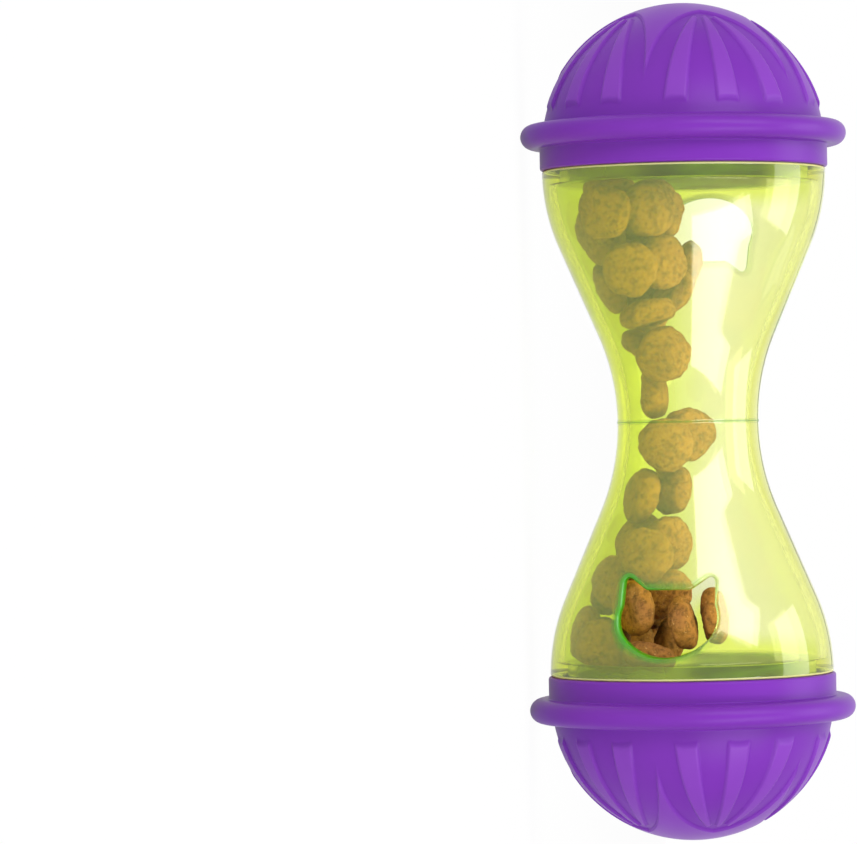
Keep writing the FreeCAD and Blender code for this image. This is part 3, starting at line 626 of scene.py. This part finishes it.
class Shell:
    """The tube's points and faces while its windows are cut and their rims built."""

    def __init__(self):
        self.rows, self.outer, self.inner = tube_rows()
        self.turns = np.radians(column_angles())
        self.columns = len(self.turns)
        x = np.repeat(self.rows[:, 0], self.columns)
        r = np.repeat(self.rows[:, 1], self.columns)
        turn = np.tile(self.turns, len(self.rows))
        outer_row = np.isin(np.arange(len(self.rows)), self.outer)
        is_outer = np.repeat(outer_row, self.columns)
        off_line = np.abs(np.abs(np.degrees(turn)) - 90.0)
        line = np.interp(off_line, [LINE_TOP, LINE_FOOT], [LINE_HEIGHT, 0.0])
        r = r + is_outer * line
        self.points = list(np.stack([x, -r * np.cos(turn), r * np.sin(turn)], axis=1))
        # Painted green glow along the waist ridge
        self.painted_glow = list(PAINTED_RIDGE_GLOW * is_outer * (np.abs(x) < PAINTED_RIDGE_REACH))
        self.cut = set()
        self.faces = []

    def cut_patch(self, rows, end, way):
        """Takes out a patch of skin round a window and gives the loop of its edge."""
        picked = [i for i in rows if PATCH_START <= self.rows[i][0] * way <= end]
        turns = np.degrees(self.turns)
        if way > 0:
            columns = list(np.where(np.abs(turns) <= PATCH_HALF_TURN)[0])
        else:
            side = np.where(turns < 0, turns + 360.0, turns)
            around = np.where(np.abs(side - 180.0) <= PATCH_HALF_TURN)[0]
            columns = sorted(around, key=lambda j: side[j])
        self.cut.update((i, j) for i in picked[:-1] for j in columns[:-1])
        ids = np.array([[i * self.columns + j for j in columns] for i in picked])
        loop = list(ids[0, :]) + list(ids[1:, -1])
        return loop + list(ids[-1, -2::-1]) + list(ids[-2:0:-1, 0])

    def fill_patch(self, loop, ring, ring_ids, depth, way):
        """Joins the edge of a patch to the ring round the window by widening bands."""
        edge = np.array([(self.points[i][0] * way, self.points[i][2]) for i in loop])
        middle = (WINDOW_STATION, 0.0)
        if bearings(edge, middle)[-1] < bearings(edge, middle)[0]:
            edge, loop = edge[::-1], loop[::-1]
        behind = np.where(edge[:, 0] < middle[0], np.inf, 0.0)
        first = int(np.argmin(np.abs(edge[:, 1]) + behind))
        edge, loop = np.roll(edge, -first, axis=0), list(np.roll(loop, -first))
        own = shares(ring)
        turned = np.append(bearings(ring, middle), 1.0)
        by_turn = np.interp(bearings(edge, middle), turned, np.append(own, 1.0))
        places = 0.5 * shares(edge) + 0.5 * by_turn
        far = np.append(places, 1.0)
        goal = np.stack(
            [np.interp(own, far, np.append(edge[:, k], edge[0, k])) for k in (0, 1)],
            axis=1,
        )
        last = ring_ids
        for band in range(1, PATCH_BANDS):
            share = (band / PATCH_BANDS) ** BAND_GROWTH
            plan = ring * (1.0 - share) + goal * share
            # Painted green glow on the first bands of outer skin round the rim
            painted_glow = PAINTED_NEAR_GLOW.get(band, 0.0) if depth == 0.0 else 0.0
            ids = self.add_ring(plan, front_of(plan, depth), way, painted_glow)
            self.join_rings(last, ids)
            last = ids
        self.zip_loops(last, own, loop, places)

    def join_rings(self, first, second):
        """Faces between two rings with as many points each."""
        for k in range(len(first)):
            after = (k + 1) % len(first)
            self.faces.append([first[k], first[after], second[after], second[k]])

    def zip_loops(self, near, near_places, far, far_places):
        """Triangles between two closed loops whose points lie at given shares."""
        i = j = 0
        near_next = np.append(near_places[1:], 1.0)
        far_next = np.append(far_places[1:], 1.0)
        while i < len(near) or j < len(far):
            a, b = near[i % len(near)], far[j % len(far)]
            if j == len(far) or (i < len(near) and near_next[i] <= far_next[j]):
                i += 1
                self.faces.append([a, near[i % len(near)], b])
            else:
                j += 1
                self.faces.append([a, far[j % len(far)], b])

    def add_ring(self, plan, across, way, painted_glow):
        """Adds a ring of points. The painted glow on the edge is strongest on its lower
        side.
        """
        first = len(self.points)
        for (u, z), y in zip(plan, across):
            self.points.append(np.array([u * way, y * way, z]))
            by_height = GLOW_AT_MIDDLE - GLOW_PER_MM * z
            self.painted_glow.append(painted_glow * min(max(by_height, LEAST_GLOW), 1.0))
        return list(range(first, len(self.points)))

    def window(self, way):
        """Cuts one window and builds its rounded rim from the outer to the inner skin."""
        outline = window_outline() + np.array([WINDOW_STATION, 0.0])
        out = outward(outline)
        rings = []
        for turn in np.radians(np.linspace(0.0, 90.0, RIM_RINGS)):
            plan = outline + out * RIM_ROUND * (1.0 - math.sin(turn))
            across = front_of(plan, 0.0) + RIM_ROUND * (1.0 - math.cos(turn))
            rings.append((plan, across))
        cut_start = rings[-1][1]
        cut_end = front_of(outline, WALL) - INNER_RIM_ROUND
        for share in CUT_SHARES:
            rings.append((outline, cut_start * (1.0 - share) + cut_end * share))
        for turn in np.radians(np.linspace(90.0, 0.0, INNER_RIM_RINGS)):
            plan = outline + out * INNER_RIM_ROUND * (1.0 - math.sin(turn))
            across = front_of(plan, WALL) - INNER_RIM_ROUND * (1.0 - math.cos(turn))
            rings.append((plan, across))
        numbers = [
            self.add_ring(plan, across, way, painted_glow)
            for (plan, across), painted_glow in zip(rings, PAINTED_RIM_GLOW)
        ]
        for first, second in zip(numbers, numbers[1:]):
            self.join_rings(first, second)
        outer = self.cut_patch(self.outer, OUTER_PATCH_END, way)
        self.fill_patch(outer, rings[0][0], numbers[0], 0.0, way)
        inner = self.cut_patch(self.inner, INNER_PATCH_END, way)
        self.fill_patch(inner, rings[-1][0], numbers[-1], WALL, way)

    def finished(self):
        """All points, turned and lifted into place, all faces, and what points carry."""
        total = len(self.rows)
        for i in range(total):
            for j in range(self.columns):
                if (i, j) not in self.cut:
                    self.faces.append(quad(i, (i + 1) % total, j, self.columns))
        used = np.unique([v for face in self.faces for v in face])
        renumber = np.full(len(self.points), -1)
        renumber[used] = np.arange(len(used))
        faces = [[int(renumber[v]) for v in face] for face in self.faces]
        points = np.array(self.points)[used]
        turn = math.radians(WINDOW_TURN)
        y, z = points[:, 1].copy(), points[:, 2].copy()
        points[:, 1] = y * math.cos(turn) - z * math.sin(turn)
        points[:, 2] = y * math.sin(turn) + z * math.cos(turn)
        carried = {
            "painted_edge_glow": np.array(self.painted_glow)[used],
            "cap_shade": cap_shade(points),
            "end_light": end_light(points),
        }
        points[:, 2] += AXIS_HEIGHT
        return points, faces, carried


def end_light(points):
    """How much painted highlight the rounded shoulder edge carries beside each cap."""
    along = np.abs(points[:, 0])
    at_edge = (along > LIGHT_START) * (along < LIGHT_END)
    return END_LIGHT * at_edge * (np.hypot(points[:, 1], points[:, 2]) > LIGHT_INNER)


def height_band(heights, foot, full, fading, end):
    """A smooth band in height: 0 up to the foot, 1 from full to fading, 0 at the end."""
    return eased(heights, foot, full) * eased(-heights, -end, -fading)


def cap_shade(points):
    """How deep the inner skin's painted light and shade are: 0.5 at most behind, more in
    the necks.
    """
    x, y, z = points.T
    along, radius = np.abs(x), np.hypot(y, z)
    inner = radius < skin(np.minimum(along, SHOULDER), 0.5 * WALL)
    corner = DEEP_LIME * eased(along, CORNER_START, CORNER_END)
    left = (x < 0) * height_band(z, *LEFT_NECK_PATCH)
    right = (x > 0) * height_band(z, *RIGHT_NECK_PATCH)
    neck = (along > NECK_START) * (NECK_SHADE + NECK_PATCH_SHADE * (left + right))
    from_pool = np.hypot(
        (x - POOL_MIDDLE[0]) / POOL_REACH[0], (z - POOL_MIDDLE[1]) / POOL_REACH[1]
    )
    pool = DEEP_LIME * eased(1.0 - from_pool, 0.0, POOL_FADE)
    wall = (y > BEHIND_AXIS) * np.minimum(corner + pool, DEEP_LIME)
    return inner * np.maximum(wall, neck)


shell = Shell()
for way in (1, -1):
    shell.window(way)
points, faces, carried = shell.finished()
new_piece(
    "lime_tube",
    points,
    faces,
    "tube_body",
    "tube",
    tube_plastic(),
    carried,
)


# Caps


def circle_through(first, middle, last):
    """Centre and radius of the circle through three points."""
    (ax, ay), (bx, by), (cx, cy) = first, middle, last
    d = 2 * (ax * (by - cy) + bx * (cy - ay) + cx * (ay - by))
    a, b, c = ax * ax + ay * ay, bx * bx + by * by, cx * cx + cy * cy
    x = (a * (by - cy) + b * (cy - ay) + c * (ay - by)) / d
    y = (a * (cx - bx) + b * (ax - cx) + c * (bx - ax)) / d
    return (x, y), math.hypot(ax - x, ay - y)


def star_depth(p, q):
    """How deep places lie inside the star, with p along a fan and q beside it."""
    half = math.pi / FAN_COUNT
    tip = (STAR_TIP * math.cos(half), STAR_TIP * math.sin(half))
    centre, reach = circle_through((STAR_HOLLOW, 0.0), STAR_SIDE, tip)
    middle_side = math.copysign(1.0, reach - math.hypot(*centre))
    return middle_side * (reach - np.hypot(p - centre[0], q - centre[1]))


def pleat_depth(p, q, number):
    """How deep places lie inside a fan's middle pleat, 0, or its side pleats, 1."""
    lean = math.radians(PLEAT_LEAN) * number
    ahead = np.array([math.cos(lean), math.sin(lean)])
    aside = np.array([-ahead[1], ahead[0]])
    start = np.array([PLEAT_START, PLEAT_SPREAD * number])
    end = PLEAT_END * ahead
    run = (p - start[0]) * ahead[0] + (q - start[1]) * ahead[1]
    off_line = (p - end[0]) * aside[0] + (q - end[1]) * aside[1]
    length = float((end - start) @ ahead)
    drift = float((start - end) @ aside)
    share = np.clip(run / length, 0.0, 1.0)
    half_width = PLEAT_TIP + (PLEAT_FOOT - PLEAT_TIP) * share
    strip = half_width - np.abs(off_line - drift * (1.0 - share))
    return np.minimum(strip, np.minimum(run, length - run))


def raised_share(plan_radius, turn):
    """How far the dome stands up at a place in plan: 1 on star and pleats, else 0."""
    sector = 360.0 / FAN_COUNT
    off = (np.degrees(turn) - FAN_TURN + sector / 2) % sector - sector / 2
    p = plan_radius * np.cos(np.radians(off))
    q = np.abs(plan_radius * np.sin(np.radians(off)))
    pleats = np.maximum(pleat_depth(p, q, 0), pleat_depth(p, q, 1))
    depth = np.maximum(star_depth(p, q), pleats)
    return eased(depth, -PATTERN_SOFTNESS, PATTERN_SOFTNESS)


def cap_outline():
    """Profile (x, r) from the middle of the ceiling to the foot of the dome."""
    half_ring = RING_THICKNESS / 2
    points = arc((SKIRT_LENGTH, 0.0), BORE, CEILING_TURN, 90.0, CEILING_ROWS)
    points += [(x, BORE) for x in BORE_PLACES]
    corner = (BORE_EDGE_ROUND, BORE + BORE_EDGE_ROUND)
    points += arc(corner, BORE_EDGE_ROUND, 270, 180, 4)
    corner = (SKIRT_EDGE_ROUND, SKIRT - SKIRT_EDGE_ROUND)
    points += arc(corner, SKIRT_EDGE_ROUND, 180, 90, 5)
    points += [(x, SKIRT) for x in SKIRT_PLACES]
    corner = (SKIRT_LENGTH - RING_FILLET, SKIRT + RING_FILLET)
    points += arc(corner, RING_FILLET, -90, 0, 4)
    points += [(SKIRT_LENGTH, SKIRT + UNDER_RING)]
    points += arc((SKIRT_LENGTH + half_ring, RING - half_ring), half_ring, 180, 0, 19)
    top = SKIRT_LENGTH + RING_THICKNESS
    foot = math.sqrt(RECESS**2 - RING_THICKNESS**2)
    points += [(top + x, foot + r) for x, r in DOME_FOOT]
    return points


def cap_mesh(way):
    """One cap as a grid turned round the axis, with the raised pattern on its dome."""
    turns = np.linspace(0.0, 2 * math.pi, CAP_COLUMNS, endpoint=False)
    outline = np.array(cap_outline())
    foot_turn = math.acos((RING_THICKNESS + DOME_START) / RECESS)
    polar = np.linspace(foot_turn, math.radians(CROWN_TURN), DOME_ROWS)
    dome_polar = np.repeat(polar, CAP_COLUMNS)
    dome_turn = np.tile(turns, DOME_ROWS)
    share = raised_share((RECESS + RELIEF / 2) * np.sin(dome_polar), dome_turn)
    reach = RECESS + RELIEF * share
    dome_x = SKIRT_LENGTH + reach * np.cos(dome_polar)
    x = np.concatenate([np.repeat(outline[:, 0], CAP_COLUMNS), dome_x])
    dome_r = reach * np.sin(dome_polar)
    r = np.concatenate([np.repeat(outline[:, 1], CAP_COLUMNS), dome_r])
    turn = np.concatenate([np.tile(turns, len(outline)), dome_turn])
    points = np.stack(
        [way * (CAP_START + x), -r * np.cos(turn), AXIS_HEIGHT + r * np.sin(turn)],
        axis=1,
    )
    ends = [
        (way * (CAP_START + SKIRT_LENGTH + height), 0.0, AXIS_HEIGHT)
        for height in (BORE, RECESS + RELIEF)
    ]
    rows = len(outline) + DOME_ROWS
    faces = [
        quad(i, i + 1, j, CAP_COLUMNS) for i in range(rows - 1) for j in range(CAP_COLUMNS)
    ]
    ceiling, crown = rows * CAP_COLUMNS, rows * CAP_COLUMNS + 1
    last = (rows - 1) * CAP_COLUMNS
    for j in range(CAP_COLUMNS):
        k = (j + 1) % CAP_COLUMNS
        faces.append([ceiling, k, j])
        faces.append([crown, last + j, last + k])
    flat = np.zeros(len(outline) * CAP_COLUMNS)
    raised = np.concatenate([flat, share, [0.0, 1.0]])
    return np.vstack([points, ends]), faces, {"raised": raised}


violet = cap_plastic()
for way, side in ((1, "right"), (-1, "left")):
    points, faces, carried = cap_mesh(way)
    new_piece(
        "violet_cap_" + side,
        points,
        faces,
        "cap_%s_body" % side,
        "cap_" + side,
        violet,
        carried,
    )


# Treats: a lumpy pellet in the place of each CAD disc


def unit_ball(level):
    """Points and faces of an even ball of radius 1."""
    edit = bmesh.new()
    bmesh.ops.create_icosphere(edit, subdivisions=level, radius=1.0)
    points = np.array([v.co[:] for v in edit.verts])
    faces = [[v.index for v in f.verts] for f in edit.faces]
    edit.free()
    return points, faces


BALL, BALL_FACES = unit_ball(BALL_LEVEL)


def pellet(chance):
    """A flattened pellet with uneven edges, dents and a crumbly surface."""
    flat = np.hypot(BALL[:, 0], BALL[:, 1])
    power = chance.uniform(ROUNDEST, SQUAREST)
    stretch = 1.0 / (
        (flat / TREAT_RADIUS) ** power + (np.abs(BALL[:, 2]) / TREAT_HALF) ** power
    ) ** (1.0 / power)
    points = BALL * stretch[:, None]
    shift = Vector([chance.uniform(-SHIFT_REACH, SHIFT_REACH) for _ in range(3)])
    spots = [Vector(p) for p in points]
    lump = np.array([noise.noise(spot * LUMP_SCALE + shift) for spot in spots])
    knob = np.array([noise.noise(spot * KNOB_SCALE - shift) for spot in spots])
    crumb = np.array(
        [
            noise.fractal(
                spot * CRUMB_SCALE + shift, CRUMB_ROUGHNESS, CRUMB_STEP, CRUMB_LAYERS
            )
            for spot in spots
        ]
    )
    inward = INSET - LUMP_DEPTH * lump - KNOB_DEPTH * knob - CRUMB_DEPTH * crumb
    return points - BALL * np.clip(inward, LEAST_INWARD, MOST_INWARD)[:, None]


def place_of(node):
    """Middle and flat direction of a CAD disc, from its points, in millimetres."""
    spots = np.array([v.co[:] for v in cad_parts[node].data.vertices]) / MM
    middle = (spots.min(axis=0) + spots.max(axis=0)) / 2
    off = spots - middle
    reach = np.linalg.norm(off, axis=1)
    rim = off[reach > reach.max() * RIM_SHARE]
    facing = np.linalg.svd(rim, full_matrices=False)[2][-1]
    return middle, facing


TREAT_NODES = ["treat_%02d" % number for number in range(1, TREAT_COUNT + 1)]
PLACES = [place_of(node) for node in TREAT_NODES]


def painted_crowd_shade(points, own):
    """Painted shade from how closely the other treats hem in each point: 0 in the open, 1
    in a crack.
    """
    free = np.ones(len(points))
    for other, (middle, facing) in enumerate(PLACES):
        apart = np.linalg.norm(middle - PLACES[own][0])
        if other == own or apart > 2 * TREAT_RADIUS + CROWD_REACH:
            continue
        off = points - middle
        away = np.linalg.norm(off, axis=1)
        along = off @ facing
        flat = np.sqrt(np.maximum(away**2 - along**2, 0.0))
        gap = away * (1.0 - 1.0 / np.hypot(flat / TREAT_RADIUS, along / TREAT_HALF))
        free *= 1.0 - CROWD_SHADE * np.clip(1.0 - gap / CROWD_REACH, 0.0, 1.0)
    return 1.0 - free


crumbly = kibble()
chance = random.Random(SEED)
for number, node in enumerate(TREAT_NODES, 1):
    middle, facing = PLACES[number - 1]
    turn = Vector((0.0, 0.0, 1.0)).rotation_difference(Vector(facing)).to_matrix()
    spin = Matrix.Rotation(chance.uniform(0.0, 2 * math.pi), 3, "Z")
    shape = pellet(chance) @ np.array(turn @ spin).T + middle
    new_piece(
        "kibble_%02d" % number,
        shape,
        BALL_FACES,
        "tube_body",
        node,
        crumbly,
        {"painted_crowd_shade": painted_crowd_shade(shape, number - 1)},
    )


# Floor, light and camera


def white_to_the_eye(make, plain, white, keep, mirrored):
    """Shows plain white to camera, mirror and clear rays, and the lit shader else."""
    path = make("ShaderNodeLightPath").outputs
    mirror = worked_out(make, "MULTIPLY", path["Is Glossy Ray"], mirrored)
    seen = worked_out(make, "MAXIMUM", path["Is Camera Ray"], mirror)
    seen = worked_out(make, "MAXIMUM", seen, path["Is Transmission Ray"])
    return blended(make, worked_out(make, "MULTIPLY", seen, keep), plain, white)


def floor_material():
    """White to the eye, but with a little of the toy's shadow kept."""
    material, make = new_material("white_floor")
    plain = diffuse(make, (FLOOR_GREY, FLOOR_GREY, FLOOR_GREY, 1.0))
    white = make("ShaderNodeEmission", {"Color": WHITE, "Strength": 1.0}).outputs[0]
    shown = white_to_the_eye(make, plain, white, FLOOR_WHITENESS, FLOOR_IN_MIRRORS)
    make("ShaderNodeOutputMaterial", {"Surface": shown})
    return material


def studio_world():
    """A world that lights softly and looks plain white."""
    world = bpy.data.worlds.new("studio")
    world.use_nodes = True
    make = maker(world.node_tree)
    ambient, blank = (
        make("ShaderNodeBackground", {"Color": WHITE, "Strength": strength}).outputs[0]
        for strength in (AMBIENT, 1.0)
    )
    shown = white_to_the_eye(make, ambient, blank, 1.0, 1.0)
    make("ShaderNodeOutputWorld", {"Surface": shown})
    return world


def softbox(name, place, size, watts):
    """A rectangular lamp that points at the middle of the toy."""
    lamp = bpy.data.lights.new(name, "AREA")
    lamp.shape = "RECTANGLE"
    lamp.size, lamp.size_y = size
    lamp.energy = watts
    holder = bpy.data.objects.new(name, lamp)
    bpy.context.scene.collection.objects.link(holder)
    holder.location = place
    aim = Vector((0.0, 0.0, AXIS_HEIGHT * MM)) - Vector(place)
    holder.rotation_euler = aim.to_track_quat("-Z", "Y").to_euler()


def place_camera():
    """The photograph's camera: in front of the toy, with +X down in the picture."""
    lens_data = bpy.data.cameras.new("camera")
    camera = bpy.data.objects.new("camera", lens_data)
    bpy.context.scene.collection.objects.link(camera)
    bpy.context.scene.camera = camera
    lens_data.sensor_width = SENSOR
    lens_data.lens = SENSOR * DISTANCE * PIXELS_PER_METRE / IMAGE_WIDTH
    lens_data.shift_x = (IMAGE_WIDTH / 2 - MIDDLE_X) / IMAGE_WIDTH
    lens_data.shift_y = (MIDDLE_Y - IMAGE_HEIGHT / 2) / IMAGE_WIDTH
    lens_data.clip_start, lens_data.clip_end = CLIP_START, CLIP_END
    right, up = Vector((0.0, 0.0, 1.0)), Vector((-1.0, 0.0, 0.0))
    back = right.cross(up)
    level = Matrix((right, up, back)).transposed()
    roll = Matrix.Rotation(math.radians(ROLL), 3, back)
    camera.location = (0.0, -DISTANCE, AXIS_HEIGHT * MM)
    camera.rotation_euler = (roll @ level).to_euler()


bpy.ops.mesh.primitive_plane_add(size=FLOOR_SIZE, location=(0.0, 0.0, 0.0))
floor = bpy.context.object
floor.name = "floor"
floor.data.materials.append(floor_material())

bpy.context.scene.world = studio_world()
for name, side in (("softbox_right", 1), ("softbox_left", -1)):
    place = (side * SIDE_BOX_X, SIDE_BOX_Y, SIDE_BOX_Z)
    softbox(name, place, SIDE_BOX_SIZE, SIDE_BOX_WATTS)
softbox("softbox_top", TOP_BOX_PLACE, TOP_BOX_SIZE, TOP_BOX_WATTS)
place_camera()

bpy.context.scene.view_settings.view_transform = "Standard"
